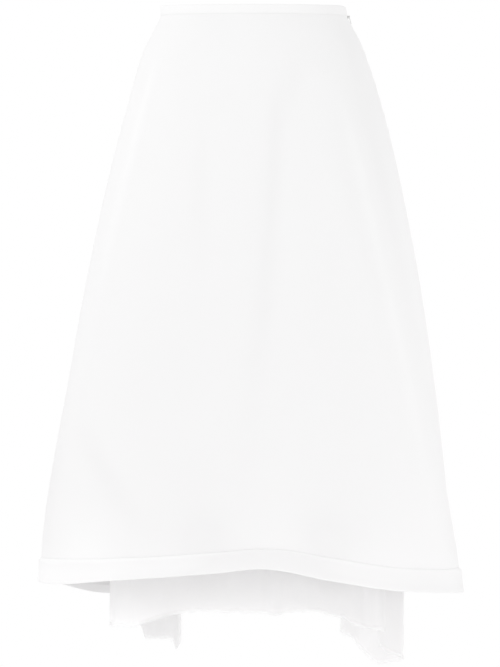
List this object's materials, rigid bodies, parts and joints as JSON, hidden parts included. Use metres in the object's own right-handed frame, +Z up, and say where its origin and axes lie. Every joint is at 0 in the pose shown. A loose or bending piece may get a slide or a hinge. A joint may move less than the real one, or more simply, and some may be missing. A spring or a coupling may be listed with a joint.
{
  "type": "flared skirt",
  "caption": "White flared midi skirt with a dipped banded hem, a narrow waistband and a raw-edged underskirt that hangs below it.",
  "frame": {"origin": "centre of the waist's top edge", "axes": "+Z up, centre front facing -Y, the side with the zip at +X"},
  "size_m": [0.5807, 0.4181, 0.9091],
  "materials": {
    "skirt_cloth": "smooth matt double weave",
    "underskirt_voile": "plain open weave with raw edges",
    "zip_metal": "satin nickel"
  },
  "bodies": {
    "skirt": {"waistband": "skirt_cloth", "front_panel": "skirt_cloth", "back_panel": "skirt_cloth", "hem_band_front": "skirt_cloth", "hem_band_back": "skirt_cloth", "underskirt_front": "underskirt_voile", "underskirt_back": "underskirt_voile", "zip_slider": "zip_metal"},
    "pull_tab": {"zip_pull_tab": "zip_metal"}
  },
  "joints": [
    {"name": "pull_tab_hinge", "type": "hinge", "parent": "skirt", "child": "pull_tab", "pos_m": [0.13124, 0, -0.01631], "axis": [0, -1, 0], "range_deg": [0, 150]}
  ]
}
